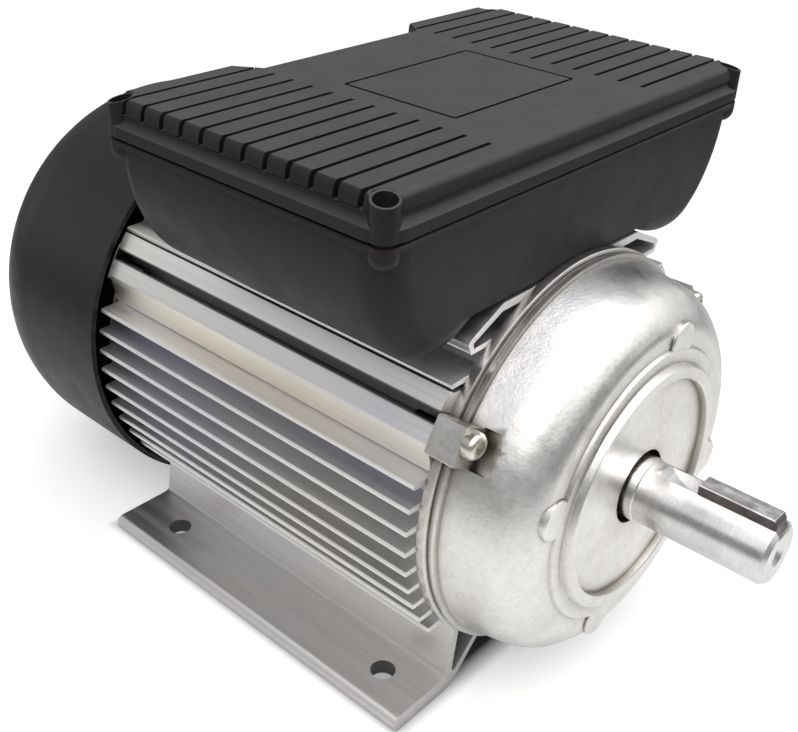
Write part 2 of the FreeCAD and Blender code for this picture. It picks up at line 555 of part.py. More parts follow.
def box_section(t, x):
    # lobed cross-section of the terminal box base; t is the inward offset
    pts = []
    n = len(BOX_CURVE)
    for i, (y, z) in enumerate(BOX_CURVE):
        p, q = BOX_CURVE[max(i - 1, 0)], BOX_CURVE[min(i + 1, n - 1)]
        dy, dz = q[0] - p[0], q[1] - p[1]
        m = math.hypot(dy, dz)
        pts.append((y - t * dz / m, z + t * dy / m))
    zb = Z_PLATE + 1.5 + t
    # the straight floor meets the start of the curve
    y0, z0 = pts[0]
    y1, z1 = pts[1]
    yk = y0 + (zb - z0) * (y1 - y0) / (z1 - z0)
    zt = Z_SPLIT + (2.0 if t > 0 else 0.0)
    e = []
    for s in (-1, 1):
        c = Part.BSplineCurve()
        c.interpolate([V(x, s * y, z) for y, z in pts])
        e.append(c.toShape())
        e.append(Part.LineSegment(V(x, s * pts[-1][0], pts[-1][1]), V(x, s * pts[-1][0], zt)).toShape())
        if abs(yk - y0) > 1e-6:
            e.append(Part.LineSegment(V(x, s * yk, zb), V(x, s * y0, z0)).toShape())
    e.append(Part.LineSegment(V(x, -yk, zb), V(x, yk, zb)).toShape())
    e.append(Part.LineSegment(V(x, -pts[-1][0], zt), V(x, pts[-1][0], zt)).toShape())
    return Part.Face(Part.Wire(Part.__sortEdges__(e)))


def drafted(x0, x1, yb, z0, z1, r, d):
    return loft([rrect(x0 + d, x1 - d, -yb + 0.0, yb - 0.0, r, z0), rrect(x0, x1, -yb, yb, r, z1)])


T_BOX = 2.8
T_END = 5.8                      # end wall
R_EDGE = 11.0                    # rounding between the lobed side and the end walls


def lobed(t, x0, x1, yb, ztop, r):
    # lobed prism between two drafted end walls, its end edges rounded
    d = 2.4
    w = []
    for z, a in ((150.0, d), (ztop, 0.0)):
        p = [V(x0 + a, -yb - 3, z), V(x1 - a, -yb - 3, z), V(x1 - a, yb + 3, z), V(x0 + a, yb + 3, z)]
        w.append(Part.makePolygon(p + [p[0]]))
    s = box_section(t, -60).extrude(V(160, 0, 0)).common(loft(w)).removeSplitter()
    pick = []
    for f in s.Faces:
        n = f.normalAt(*[sum(f.ParameterRange[k:k + 2]) / 2 for k in (0, 2)])
        if abs(n.x) > 0.99:
            for e in f.OuterWire.Edges:
                c = e.CenterOfMass
                zs = [v.Point.z for v in e.Vertexes]
                if min(zs) > ztop - 0.5 or max(zs) - min(zs) < 0.3:
                    continue
                pick.append(e)
    return s.makeFillet(r, pick)


outer = lobed(0.0, X_BOX0, X_BOX1, 101.2, Z_SPLIT, R_EDGE)
# rim lip, flush with the lid
lip = loft([rrect(X_BOX0 + 0.5, X_BOX1 - 0.5, -100.7, 100.7, 10.5, 200.2), rrect(X_LID0 + 0.1, X_LID1 - 0.1, -Y_LID + 0.1, Y_LID - 0.1, 9.0, 201.4),
            rrect(X_LID0 + 0.1, X_LID1 - 0.1, -Y_LID + 0.1, Y_LID - 0.1, 9.0, 202.8), rrect(X_LID0 + 0.8, X_LID1 - 0.8, -Y_LID + 0.8, Y_LID - 0.8, 8.3, Z_SPLIT)])
lip = lip.cut(rblock(X_BOX0 + 1.2, X_BOX1 - 1.2, -100.0, 100.0, 199.0, 205.0, 10.0))
inner = box_section(T_BOX, -60).extrude(V(160, 0, 0)).common(drafted(X_BOX0 + T_END, X_BOX1 - T_END, 101.2 - T_BOX, 150.0, Z_SPLIT + 2, 6.0, 2.4))
base = outer.cut(inner)
adds = [lip]
for bx in BOSS_X:
    for sy in (-1, 1):
        adds.append(cylz(bx, sy * BOSS_Y, 200.0, Z_SPLIT, 4.6))
        adds.append(Part.makeSphere(4.6, V(bx, sy * BOSS_Y, 200.0), V(0, 0, 1), -90, 0, 360))
# low standing pads for the terminal block
for x in (-1.5, 45.5):
    adds.append(cylz(x, 0.0, 168.0, 174.0, 4.0))
base = fuse([base] + adds)
XW = X_BOX0 + 2.4 * (Z_SPLIT - 187.0) / (Z_SPLIT - 150.0)
base = fuse([base, cyl(XW - 1.2, XW + T_END + 1.2, 15.6, 0.0, 187.0)])
cuts = []
for bx in BOSS_X:
    for sy in (-1, 1):
        cuts.append(cylz(bx, sy * BOSS_Y, 197.5, 210, 1.55))
for x in BOX_SCREW_X:
    for y in (-30.0, 30.0):
        cuts.append(cylz(x, y, 160, 180, 2.7))
cuts.append(cylz(X_LEAD, 0, 160, 180, 9.0))
cuts.append(Part.makeCylinder(10.1, 16, V(-48.0, 0, 187.0), V(1, 0, 0)))
for x in (-1.5, 45.5):
    cuts.append(cylz(x, 0.0, 168.7, 180, 1.55))
cuts.append(cylz(66.0, -22.0, 167.5, 180, 2.05))
base = base.cut(Part.makeCompound(cuts))
put("terminal_box_base", base)

# gasket under the box, around the lead opening
gk = rblock(-36.0, 77.0, -39.0, 39.0, Z_PLATE, Z_PLATE + 1.5, 6.0)
gk = gk.cut(Part.makeCompound([cylz(X_LEAD, 0, 160, 180, 9.2)] + [cylz(x, y, 160, 180, 2.8) for x in BOX_SCREW_X for y in (-30.0, 30.0)]))
Z_FLOOR = Z_PLATE + 1.5 + T_BOX
put("box_base_gasket", gk)


def pan_screw(x, y, z, head_r, head_h, r, length):
    s = fuse([cylz(x, y, z, z + head_h, head_r), cylz(x, y, z - length, z, r)])
    top = [e for e in s.Edges if abs(e.CenterOfMass.z - (z + head_h)) < 0.01 and len(e.Vertexes) == 1]
    s = s.makeChamfer(head_h * 0.3, top)
    w = head_r * 0.18
    s = s.cut(box(x - w, x + w, y - head_r * 0.65, y + head_r * 0.65, z + head_h * 0.4, z + head_h + 1))
    return s.cut(box(x - head_r * 0.65, x + head_r * 0.65, y - w, y + w, z + head_h * 0.4, z + head_h + 1))


put("box_mounting_screws", Part.makeCompound([pan_screw(x, y, Z_FLOOR, 4.6, 3.0, 2.4, 9.0) for x in BOX_SCREW_X for y in (-30.0, 30.0)]))

# --------------------------------------------------------- lid gasket and lid
gz0, gz1 = Z_SPLIT, Z_SPLIT + 1.1
g = rblock(X_LID0 + 2.5, X_LID1 - 3.1, -Y_LID + 2.2, Y_LID - 2.2, gz0, gz1, 9.5)
g = g.cut(rblock(X_LID0 + 4.4, X_LID1 - 5.0, -Y_LID + 4.1, Y_LID - 4.1, gz0 - 1, gz1 + 1, 7.6))
g = fuse([g] + [cylz(bx, sy * BOSS_Y, gz0, gz1, 3.4) for bx in BOSS_X for sy in (-1, 1)])
g = g.cut(Part.makeCompound([cylz(bx, sy * BOSS_Y, 200, 210, 1.9) for bx in BOSS_X for sy in (-1, 1)]))
put("lid_gasket", g)
zb = gz1
Z_BAND, Z_STEP = 208.4, 212.6     # top of the lid's rim band, foot of its ribbed wall


def lid_ring(z, d, r, df=None):
    # lid outline moved inwards by d, by df at the drive end
    return rrect(X_LID0 + d, X_LID1 - (d if df is None else df), -Y_LID + d, Y_LID - d, r, z)


low = rblock(X_LID0, X_LID1, -Y_LID, Y_LID, zb, Z_BAND, 9.0)
# shallow cove between the rim band and the ribbed wall
mid = loft([lid_ring(Z_BAND, 0.0, 9.0), lid_ring(209.5, 1.7, 8.4), lid_ring(210.8, 2.5, 8.0), lid_ring(212.0, 2.4, 8.0), lid_ring(Z_STEP, 1.9, 8.0)])
# ribbed wall, with a wide rounding at the drive end
up = loft([lid_ring(Z_STEP, 1.9, 8.0), lid_ring(215.3, 2.3, 7.8, 2.6), lid_ring(216.7, 2.8, 7.4, 3.7), lid_ring(Z_LID_TOP, 3.7, 7.0, 6.0)])
lid = fuse([low, mid, up])
# the rear middle part stands back between the two ribbed blocks
xe = X_LID0
xt, xb = xe + 14.6, xe + 9.0
pts = [(xe - 3, -52.0), (xe + 5.0, -47.5), (xt, -41.0), (xt, 41.0), (xe + 5.0, 47.5), (xe - 3, 52.0)]
ptsb = [(xe - 6, -54.0), (xe + 2.6, -49.0), (xb, -43.0), (xb, 43.0), (xe + 2.6, 49.0), (xe - 6, 54.0)]
top = [V(p[0], p[1], Z_LID_TOP + 2) for p in pts]
bot = [V(p[0], p[1], 210.6) for p in ptsb]
lid = lid.cut(loft([Part.makePolygon(bot + [bot[0]]), Part.makePolygon(top + [top[0]])]))
# corner screw bosses
lid = fuse([lid] + [cylz(bx, sy * BOSS_Y, zb, Z_LID_TOP - 0.15, 4.5) for bx in BOSS_X for sy in (-1, 1)])
# the corner bosses slope down towards the outside
for bx in BOSS_X:
    for sy in (-1, 1):
        sx = 1 if bx > 0 else -1
        tool = Part.makeBox(30, 30, 10, V(-15, -15, 0))
        tool.rotate(V(0, 0, 0), V(-sy, sx, 0), 14.0)
        tool.translate(V(bx, sy * BOSS_Y, Z_LID_TOP - 1.15))
        keep = Part.makeCylinder(4.62, 14, V(bx, sy * BOSS_Y, Z_LID_TOP - 6))
        lid = lid.cut(tool.common(keep))
gc = []
for gx in GROOVE_X:
    for sy in (-1, 1):
        y0, y1 = (43.5, 110.0) if sy > 0 else (-110.0, -43.5)
        gc.append(box(gx - 0.85, gx + 0.85, y0, y1, Z_LID_TOP - 2.0, Z_LID_TOP + 3))
        y0, y1 = (97.2, 110.0) if sy > 0 else (-110.0, -97.2)
        gc.append(box(gx - 1.0, gx + 1.0, y0, y1, Z_STEP - 0.3, Z_LID_TOP + 3))
pan_x0, pan_x1, pan_y = 1.6, 52.0, 34.0
po = rblock(pan_x0, pan_x1, -pan_y, pan_y, Z_LID_TOP - 0.9, Z_LID_TOP + 2, 1.5)
pi_ = rblock(pan_x0 + 1.3, pan_x1 - 1.3, -pan_y + 1.3, pan_y - 1.3, Z_LID_TOP - 2, Z_LID_TOP + 3, 1.0)
gc.append(po.cut(pi_))
for bx in BOSS_X:
    for sy in (-1, 1):
        gc.append(cylz(bx, sy * BOSS_Y, 208.2, Z_LID_TOP + 2, 3.7))
        gc.append(cylz(bx, sy * BOSS_Y, 200, 209, 1.9))
# hollow underside, clear of the bosses
cav = rblock(X_LID0 + 9.5, X_LID1 - 9.5, -Y_LID + 5.6, Y_LID - 5.6, 200, 211.5, 4.0)
cav = cav.cut(Part.makeCompound([cylz(bx, sy * BOSS_Y, 199, 215, 6.0) for bx in BOSS_X for sy in (-1, 1)]))
cav = cav.cut(box(X_LID0, X_LID0 + 19.0, -51, 51, 208.0, 215))
gc.append(cav)
lid = lid.cut(Part.makeCompound(gc[:-1])).cut(cav)
put("terminal_box_lid", lid)
put("lid_screws", Part.makeCompound([pan_screw(bx, sy * BOSS_Y, 208.2, 3.3, 2.4, 1.5, 10.2) for bx in BOSS_X for sy in (-1, 1)]))


# --------------------------------------------------------- capacitors in the two lobes
def capacitor(y, z, r, x0, x1):
    can = cyl(x0, x1, r, y, z)
    can = can.makeFillet(2.5, [e for e in can.Edges if len(e.Vertexes) == 1 and e.CenterOfMass.x < x0 + 0.1])
    rim = ring(x1 - 1.5, x1 + 1.2, r + 0.6, r - 2.5, y, z)
    tabs = [box(x1 - 0.5, x1 + 9.0, y + dy - 3.1, y + dy + 3.1, z - 0.4, z + 0.4) for dy in (-8.0, 8.0)]
    tabs += [cyl(x1 - 0.5, x1 + 3.0, 4.8, y + dy, z) for dy in (-8.0, 8.0)]
    return fuse([can, rim] + tabs)


put("start_capacitor", capacitor(-70.0, 184.0, 23.0, -30.0, 62.0))
put("run_capacitor", capacitor(70.0, 184.0, 20.0, -30.0, 54.0))


def band(y, z, r, x, s):
    b = ring(x - 5, x + 5, r + 1.6, r + 0.05, y, z)
    ear = box(x - 5, x + 5, min(s * (abs(y) - r - 9.0), s * (abs(y) - r)), max(s * (abs(y) - r - 9.0), s * (abs(y) - r)), z - 0.8, z + 0.8)
    leg = box(x - 5, x + 5, min(s * (abs(y) - r - 9.0), s * (abs(y) - r - 7.4)), max(s * (abs(y) - r - 9.0), s * (abs(y) - r - 7.4)), Z_FLOOR, z)
    c = fuse([b, ear, leg])
    return c.cut(cyl(x - 8, x + 8, r + 0.05, y, z))


put("capacitor_clamps", Part.makeCompound([band(-70.0, 184.0, 23.0, -10.0, -1), band(-70.0, 184.0, 23.0, 40.0, -1), band(70.0, 184.0, 20.0, -10.0, 1), band(70.0, 184.0, 20.0, 36.0, 1)]))

# --------------------------------------------------------- terminal block
tb = rblock(-5.0, 49.0, -17.0, 17.0, 174.0, 180.0, 3.0)
tb = fuse([tb] + [box(x - 0.9, x + 0.9, -15.0, 15.0, 179.5, 186.0) for x in (14.0, 30.0)])
STUD_X = (6.0, 22.0, 38.0)
tb = tb.cut(Part.makeCompound([cylz(x, y, 170, 190, 2.06) for x in STUD_X for y in (-9.0, 9.0)] + [cylz(x, 0, 170, 190, 1.7) for x in (-1.5, 45.5)]))
put("terminal_block", tb)
put("terminal_studs", Part.makeCompound([fuse([cylz(x, y, 172.0, 193.0, 2.0), cylz(x, y, 172.0, 174.0, 3.6)]) for x in STUD_X for y in (-9.0, 9.0)]))


def hexnut(x, y, z0, z1, af, r):
    rr = af / math.sqrt(3)
    n = prismz([(x + rr * math.cos(math.radians(60 * k)), y + rr * math.sin(math.radians(60 * k))) for k in range(6)], z0, z1)
    return n.cut(cylz(x, y, z0 - 1, z1 + 1, r))


put("terminal_nuts", Part.makeCompound([hexnut(x, y, 181.2 if x < 30 else 180.0, 184.4 if x < 30 else 183.2, 7.0, 2.05) for x in STUD_X for y in (-9.0, 9.0)]))
lk = []
for x in STUD_X[:2]:
    b = rblock(x - 3.6, x + 3.6, -13.0, 13.0, 180.0, 181.2, 2.0)
    lk.append(b.cut(Part.makeCompound([cylz(x, y, 178, 182, 2.05) for y in (-9.0, 9.0)])))
put("terminal_links", Part.makeCompound(lk))
put("terminal_block_screws", Part.makeCompound([pan_screw(x, 0.0, 180.0, 2.8, 2.0, 1.5, 10.0) for x in (-1.5, 45.5)]))
washer = cylz(66.0, -22.0, Z_FLOOR, Z_FLOOR + 1.2, 5.2).cut(cylz(66.0, -22.0, 165, 175, 2.1))
put("earth_screw", Part.makeCompound([pan_screw(66.0, -22.0, Z_FLOOR + 1.2, 3.9, 2.6, 2.0, 3.2), washer]))

# --------------------------------------------------------- cable gland (rear wall of the box)
gy, gzz = 0.0, 187.0
hexp = lambda af, x0, x1: prism([(gy + af / math.sqrt(3) * math.cos(math.radians(60 * k)), gzz + af / math.sqrt(3) * math.sin(math.radians(60 * k))) for k in range(6)], x0, x1)
# outside face of the box wall at the gland height
xw = XW - 0.85
gb = fuse([hexp(24.0, xw - 6.4, xw - 0.4), cyl(xw - 14.0, xw - 6.0, 9.4, gy, gzz), cyl(xw - 0.6, xw + 12.8, 10.0, gy, gzz)])
gb = gb.cut(cyl(xw - 20, xw + 15, 6.5, gy, gzz))
put("cable_gland_body", gb)
gn = fuse([hexp(22.0, xw - 19.0, xw - 7.0)])
gn = gn.cut(cyl(xw - 14.4, xw - 6.0, 9.5, gy, gzz)).cut(cyl(xw - 25, xw, 6.5, gy, gzz))
gn = gn.common(revolve([(xw - 7.0, 0), (xw - 7.0, 13.0), (xw - 15.0, 13.0), (xw - 19.0, 10.0), (xw - 19.0, 0)]).translate(V(0, gy, gzz - H)))
put("cable_gland_nut", gn)
gl = hexp(24.0, XW + T_END + 1.25, XW + T_END + 5.4).cut(cyl(xw, xw + 15, 10.05, gy, gzz))
put("cable_gland_locknut", gl)

# --------------------------------------------------------- winding leads through the frame
leads = []
for i, (x, y) in enumerate(((59.0, -3.0), (59.0, 3.0), (64.0, -5.5), (64.0, 5.5), (69.0, -3.0), (69.0, 3.0))):
    z0 = H + math.sqrt(63.0 ** 2 - y * y) + 0.2
    leads.append(cylz(x, y, z0, 178.0, 1.4))
put("winding_leads", Part.makeCompound(leads))

for name, shape in PARTS.items():
    shape.exportStep("parts/%s.step" % name)
    vol = sum(s.Volume for s in shape.Solids)
    bb = shape.BoundBox
    print("%-28s solids %2d vol %10.1f  x %7.1f %7.1f y %7.1f %7.1f z %6.1f %6.1f valid %s" % (
        name, len(shape.Solids), vol, bb.XMin, bb.XMax, bb.YMin, bb.YMax, bb.ZMin, bb.ZMax, shape.isValid()))
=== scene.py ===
import json
import math
import bpy
from mathutils import Matrix, Vector

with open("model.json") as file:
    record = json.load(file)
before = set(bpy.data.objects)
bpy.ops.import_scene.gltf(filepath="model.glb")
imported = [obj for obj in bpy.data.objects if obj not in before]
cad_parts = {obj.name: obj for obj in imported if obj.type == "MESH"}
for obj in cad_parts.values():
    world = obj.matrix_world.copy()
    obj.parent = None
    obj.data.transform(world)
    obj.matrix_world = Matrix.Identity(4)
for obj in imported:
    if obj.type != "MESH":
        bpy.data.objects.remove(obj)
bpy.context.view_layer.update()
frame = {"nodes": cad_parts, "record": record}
scene = bpy.context.scene
record = frame["record"]
nodes = frame["nodes"]


# ------------------------------------------------------------ node helpers
class Mat:
    """A small builder for procedural materials, in the row frame's metres."""

    def __init__(self, name, base, metallic=0.0, rough=0.5, spec=0.5):
        m = bpy.data.materials.new(name)
        m.use_nodes = True
        self.m = m
        self.t = m.node_tree
        self.b = self.t.nodes["Principled BSDF"]
        self.b.inputs["Base Color"].default_value = (*base, 1.0)
        self.b.inputs["Metallic"].default_value = metallic
        self.b.inputs["Roughness"].default_value = rough
        self.b.inputs["Specular IOR Level"].default_value = spec
        self.co = self.t.nodes.new("ShaderNodeTexCoord").outputs["Object"]
        self.last = None

    def mapped(self, scale, rot=(0, 0, 0)):
        n = self.t.nodes.new("ShaderNodeMapping")
        n.inputs["Scale"].default_value = scale
        n.inputs["Rotation"].default_value = rot
        self.t.links.new(self.co, n.inputs["Vector"])
        return n.outputs["Vector"]

    def noise(self, scale, detail=3.0, rough=0.55, vec=None, distort=0.0):
        n = self.t.nodes.new("ShaderNodeTexNoise")
        n.inputs["Scale"].default_value = scale
        n.inputs["Detail"].default_value = detail
        n.inputs["Roughness"].default_value = rough
        n.inputs["Distortion"].default_value = distort
        self.t.links.new(vec if vec is not None else self.co, n.inputs["Vector"])
        return n.outputs["Fac"]

    def voronoi(self, scale, vec=None, feature="F1"):
        n = self.t.nodes.new("ShaderNodeTexVoronoi")
        n.feature = feature
        n.inputs["Scale"].default_value = scale
        self.t.links.new(vec if vec is not None else self.co, n.inputs["Vector"])
        return n.outputs["Distance"]

    def wave(self, scale, direction="X", distort=0.0, vec=None):
        n = self.t.nodes.new("ShaderNodeTexWave")
        n.bands_direction = direction
        n.inputs["Scale"].default_value = scale
        n.inputs["Distortion"].default_value = distort
        n.inputs["Detail"].default_value = 2.0
        self.t.links.new(vec if vec is not None else self.co, n.inputs["Vector"])
        return n.outputs["Fac"]

    def ramp(self, fac, stops):
        n = self.t.nodes.new("ShaderNodeValToRGB")
        e = n.color_ramp.elements
        while len(e) < len(stops):
            e.new(0.5)
        for i, (p, c) in enumerate(stops):
            e[i].position = p
            e[i].color = (*c, 1.0) if len(c) == 3 else c
        self.t.links.new(fac, n.inputs["Fac"])
        return n.outputs["Color"]

    def rng(self, fac, a, b, lo=0.3, hi=0.7):
        n = self.t.nodes.new("ShaderNodeMapRange")
        n.inputs["From Min"].default_value = lo
        n.inputs["From Max"].default_value = hi
        n.inputs["To Min"].default_value = a
        n.inputs["To Max"].default_value = b
        self.t.links.new(fac, n.inputs["Value"])
        return n.outputs["Result"]

    def mix(self, a, b, fac=0.5, mode="MIX"):
        n = self.t.nodes.new("ShaderNodeMix")
        n.data_type = "RGBA"
        n.blend_type = mode
        if isinstance(fac, (int, float)):
            n.inputs["Factor"].default_value = fac
        else:
            self.t.links.new(fac, n.inputs["Factor"])
        for sock, val in ((n.inputs[6], a), (n.inputs[7], b)):
            if isinstance(val, tuple):
                sock.default_value = (*val, 1.0)
            else:
                self.t.links.new(val, sock)
        return n.outputs[2]

    def add(self, a, b, op="ADD"):
        n = self.t.nodes.new("ShaderNodeMath")
        n.operation = op
        for sock, val in ((n.inputs[0], a), (n.inputs[1], b)):
            if isinstance(val, (int, float)):
                sock.default_value = val
            else:
                self.t.links.new(val, sock)
        return n.outputs[0]

    def xyz(self):
        n = self.t.nodes.new("ShaderNodeSeparateXYZ")
        self.t.links.new(self.co, n.inputs[0])
        return n.outputs

    def normal(self):
        g = self.t.nodes.new("ShaderNodeNewGeometry")
        n = self.t.nodes.new("ShaderNodeSeparateXYZ")
        self.t.links.new(g.outputs["Normal"], n.inputs[0])
        return n.outputs

    # painted shade: an ambient-occlusion ramp that darkens surfaces in creases, grooves and recesses
    def painted_crease_shade(self, distance, lo, hi, dark):
        n = self.t.nodes.new("ShaderNodeAmbientOcclusion")
        n.samples = 6
        n.only_local = False
        n.inputs["Distance"].default_value = distance
        return self.ramp(n.outputs["AO"], [(lo, dark), (hi, (1.0, 1.0, 1.0))])

    def colour(self, out):
        self.t.links.new(out, self.b.inputs["Base Color"])

    def rough(self, out):
        self.t.links.new(out, self.b.inputs["Roughness"])

    def bump(self, fac, strength, dist):
        n = self.t.nodes.new("ShaderNodeBump")
        n.inputs["Strength"].default_value = strength
        n.inputs["Distance"].default_value = dist
        self.t.links.new(fac, n.inputs["Height"])
        if self.last is not None:
            self.t.links.new(self.last, n.inputs["Normal"])
        self.last = n.outputs["Normal"]
        self.t.links.new(self.last, self.b.inputs["Normal"])


def cast_aluminium():
    m = Mat("cast_aluminium", (0.80, 0.79, 0.77), 1.0, 0.38)
    big = m.noise(16.0, 4.0, 0.55)
    mid = m.noise(90.0, 4.0, 0.6)
    fine = m.noise(640.0, 4.0, 0.7)
    base = m.ramp(big, [(0.28, (0.80, 0.765, 0.725)), (0.5, (0.86, 0.845, 0.815)), (0.75, (0.90, 0.895, 0.885))])
    c2 = m.mix(base, m.ramp(mid, [(0.32, (0.90, 0.885, 0.87)), (0.55, (1.0, 1.0, 1.0))]), 0.7, "MULTIPLY")
    speck = m.ramp(fine, [(0.30, (0.80, 0.79, 0.78)), (0.50, (1.0, 1.0, 1.0)), (0.72, (1.05, 1.05, 1.05))])
    c3 = m.mix(c2, speck, 0.6, "MULTIPLY")
    # painted shade: two occlusion ramps darken the casting in grooves, around the ring and next to other parts
    c4 = m.mix(c3, m.painted_crease_shade(0.0045, 0.42, 0.90, (0.30, 0.27, 0.24)), 1.0, "MULTIPLY")
    c5 = m.mix(c4, m.painted_crease_shade(0.016, 0.35, 0.92, (0.62, 0.60, 0.57)), 1.0, "MULTIPLY")
    # painted shade: within the fan cover the casting is darkened to about a seventh
    px = m.xyz()
    c5 = m.mix(c5, (0.14, 0.135, 0.13), m.rng(px[0], 1.0, 0.0, -0.0890, -0.0870), "MULTIPLY")
    # painted reflection: the upward-facing dome beside the rim is darkened and cooled a little
    top = m.add(m.rng(px[0], 1.0, 0.0, 0.0990, 0.1085), m.rng(m.normal()[2], 0.0, 1.0, 0.30, 0.70), "MULTIPLY")
    m.colour(m.mix(c5, (0.79, 0.79, 0.83), top, "MULTIPLY"))
    m.rough(m.rng(m.noise(120.0, 4.0, 0.65), 0.27, 0.42))
    m.bump(m.noise(1000.0, 3.0, 0.6), 0.30, 0.00020)
    m.bump(m.noise(260.0, 3.0, 0.55), 0.22, 0.00028)
    m.bump(m.noise(60.0, 2.0, 0.5), 0.14, 0.0007)
    return m.m


def extruded_aluminium():
    m = Mat("frame_aluminium", (0.78, 0.78, 0.80), 1.0, 0.42)
    streak = m.noise(700.0, 4.0, 0.7, m.mapped((0.012, 1.0, 1.0)))
    wide = m.noise(120.0, 3.0, 0.6, m.mapped((0.02, 1.0, 1.0)))
    patch = m.noise(13.0, 3.0, 0.5, m.mapped((0.6, 1.0, 1.0)), 0.6)
    tint = m.ramp(patch, [(0.30, (0.84, 0.84, 0.90)), (0.50, (0.915, 0.91, 0.91)), (0.70, (0.94, 0.915, 0.85))])
    st = m.ramp(streak, [(0.25, (0.86, 0.86, 0.86)), (0.55, (1.0, 1.0, 1.0)), (0.8, (1.05, 1.05, 1.05))])
    col = m.mix(tint, st, 0.8, "MULTIPLY")
    spots = m.ramp(m.noise(240.0, 3.0, 0.75), [(0.19, (0.52, 0.49, 0.47)), (0.27, (1.0, 1.0, 1.0))])
    col = m.mix(col, spots, 0.8, "MULTIPLY")
    # painted shade: an occlusion ramp darkens the frame between fins and in recesses
    col = m.mix(col, m.painted_crease_shade(0.012, 0.20, 0.90, (0.86, 0.86, 0.87)), 1.0, "MULTIPLY")
    # painted reflection: below about 46 mm the feet are darkened by about a fifth
    p = m.xyz()
    col = m.mix(col, (0.80, 0.79, 0.80), m.rng(p[2], 1.0, 0.0, 0.012, 0.046), "MULTIPLY")
    # painted shade: the narrow screw channels at 32 degrees either side are darkened to a fifth
    ay = m.add(p[1], 0.0, "ABSOLUTE")
    dz = m.add(p[2], -0.090)
    ca, sa = math.cos(math.radians(32.1)), math.sin(math.radians(32.1))
    u = m.add(m.add(ay, ca, "MULTIPLY"), m.add(dz, sa, "MULTIPLY"))
    v = m.add(m.add(m.add(dz, ca, "MULTIPLY"), m.add(ay, sa, "MULTIPLY"), "SUBTRACT"), 0.0, "ABSOLUTE")
    painted_channel_shade = m.add(m.rng(v, 1.0, 0.0, 0.00235, 0.00285), m.rng(u, 1.0, 0.0, 0.0856, 0.0868), "MULTIPLY")
    painted_channel_shade = m.add(painted_channel_shade, m.rng(u, 0.0, 1.0, 0.0700, 0.0720), "MULTIPLY")
    col = m.mix(col, (0.20, 0.195, 0.195), painted_channel_shade, "MULTIPLY")
    # the broad slanted face below the channel: straw above, lavender below
    band = m.add(m.rng(p[2], 0.0, 1.0, 0.1045, 0.1085), m.rng(p[2], 1.0, 0.0, 0.1235, 0.1275), "MULTIPLY")
    side = m.rng(ay, 0.0, 1.0, 0.066, 0.070)
    tone = m.ramp(m.rng(m.add(p[2], m.add(m.noise(9.0, 3.0, 0.5, m.mapped((0.5, 1.0, 1.0))), 0.006, "MULTIPLY")), 0.0, 1.0, 0.108, 0.126),
                  [(0.20, (0.93, 0.93, 1.03)), (0.45, (1.0, 0.985, 0.97)), (0.62, (1.04, 1.005, 0.90))])
    m.colour(m.mix(col, tone, m.add(band, side, "MULTIPLY"), "MULTIPLY"))
    m.rough(m.rng(wide, 0.34, 0.52))
    m.bump(streak, 0.10, 0.00012)
    m.bump(m.noise(1300.0, 2.0, 0.6), 0.10, 0.0001)
    return m.m


def steel(name, base, rough, rings=None, dark=0.7, shank=False):
    m = Mat(name, base, 1.0, rough)
    v = m.mapped((1.0, 0.05, 0.05)) if rings else None
    lines = m.noise(2600.0, 3.0, 0.7, v)
    cloud = m.noise(60.0, 4.0, 0.6)
    c = m.ramp(cloud, [(0.25, tuple(dark * q for q in base)), (0.6, base), (0.85, tuple(min(1.0, 1.12 * q) for q in base))])
    c = m.mix(c, m.ramp(lines, [(0.3, (0.82, 0.82, 0.82)), (0.7, (1.05, 1.05, 1.05))]), 0.7, "MULTIPLY")
    if shank:
        # painted shade: the shanks seen in the open channels of the frame are darkened to a tenth
        q = m.xyz()
        painted_shank_shade = m.add(m.rng(q[0], 1.0, 0.0, 0.0915, 0.0930), m.rng(q[2], 1.0, 0.0, 0.150, 0.152), "MULTIPLY")
        painted_shank_shade = m.add(painted_shank_shade, m.rng(m.add(q[1], 0.0, "ABSOLUTE"), 0.0, 1.0, 0.055, 0.057), "MULTIPLY")
        c = m.mix(c, (0.10, 0.10, 0.10), painted_shank_shade, "MULTIPLY")
    m.colour(c)
    m.rough(m.rng(m.noise(180.0, 3.0, 0.6), rough * 0.75, rough * 1.35))
    m.bump(lines, 0.16, 0.00008)
    return m.m


def plastic(name, base, rough, grain=1500.0, bump=0.25, warm=(1.0, 1.0, 1.0), spec=0.5, painted_top_light=None, painted_flank_shading=None):
    m = Mat(name, base, 0.0, rough, spec)
    cloud = m.noise(35.0, 4.0, 0.6)
    lo = tuple(q * 0.8 * w for q, w in zip(base, warm))
    hi = tuple(q * 1.25 for q in base)
    c = m.ramp(cloud, [(0.3, lo), (0.7, hi)])
    dust = m.ramp(m.noise(380.0, 4.0, 0.8), [(0.62, (0.0, 0.0, 0.0)), (0.80, (0.035, 0.034, 0.033))])
    c = m.mix(c, dust, 0.35, "ADD")
    if painted_flank_shading:
        # painted light: the long sides facing along Y are made a little greyer
        c = m.mix(c, painted_flank_shading, m.rng(m.add(m.normal()[1], 0.0, "ABSOLUTE"), 0.0, 1.0, 0.60, 0.95), "ADD")
    if painted_top_light:
        # painted light: faces that look up are greyer, standing in for light from above
        facing = m.rng(m.normal()[2], 0.0, 1.0, 0.55, 0.95)
        c = m.mix(c, m.ramp(m.noise(60.0, 4.0, 0.6), [(0.3, tuple(0.9 * q for q in painted_top_light)), (0.7, tuple(1.1 * q for q in painted_top_light))]), facing)
    m.colour(c)
    m.rough(m.rng(m.noise(70.0, 4.0, 0.6), rough * 0.85, rough * 1.18))
    m.bump(m.noise(grain, 2.0, 0.5), bump, 0.00012)
    m.bump(m.voronoi(grain * 0.55), bump * 0.5, 0.0001)
    return m.m


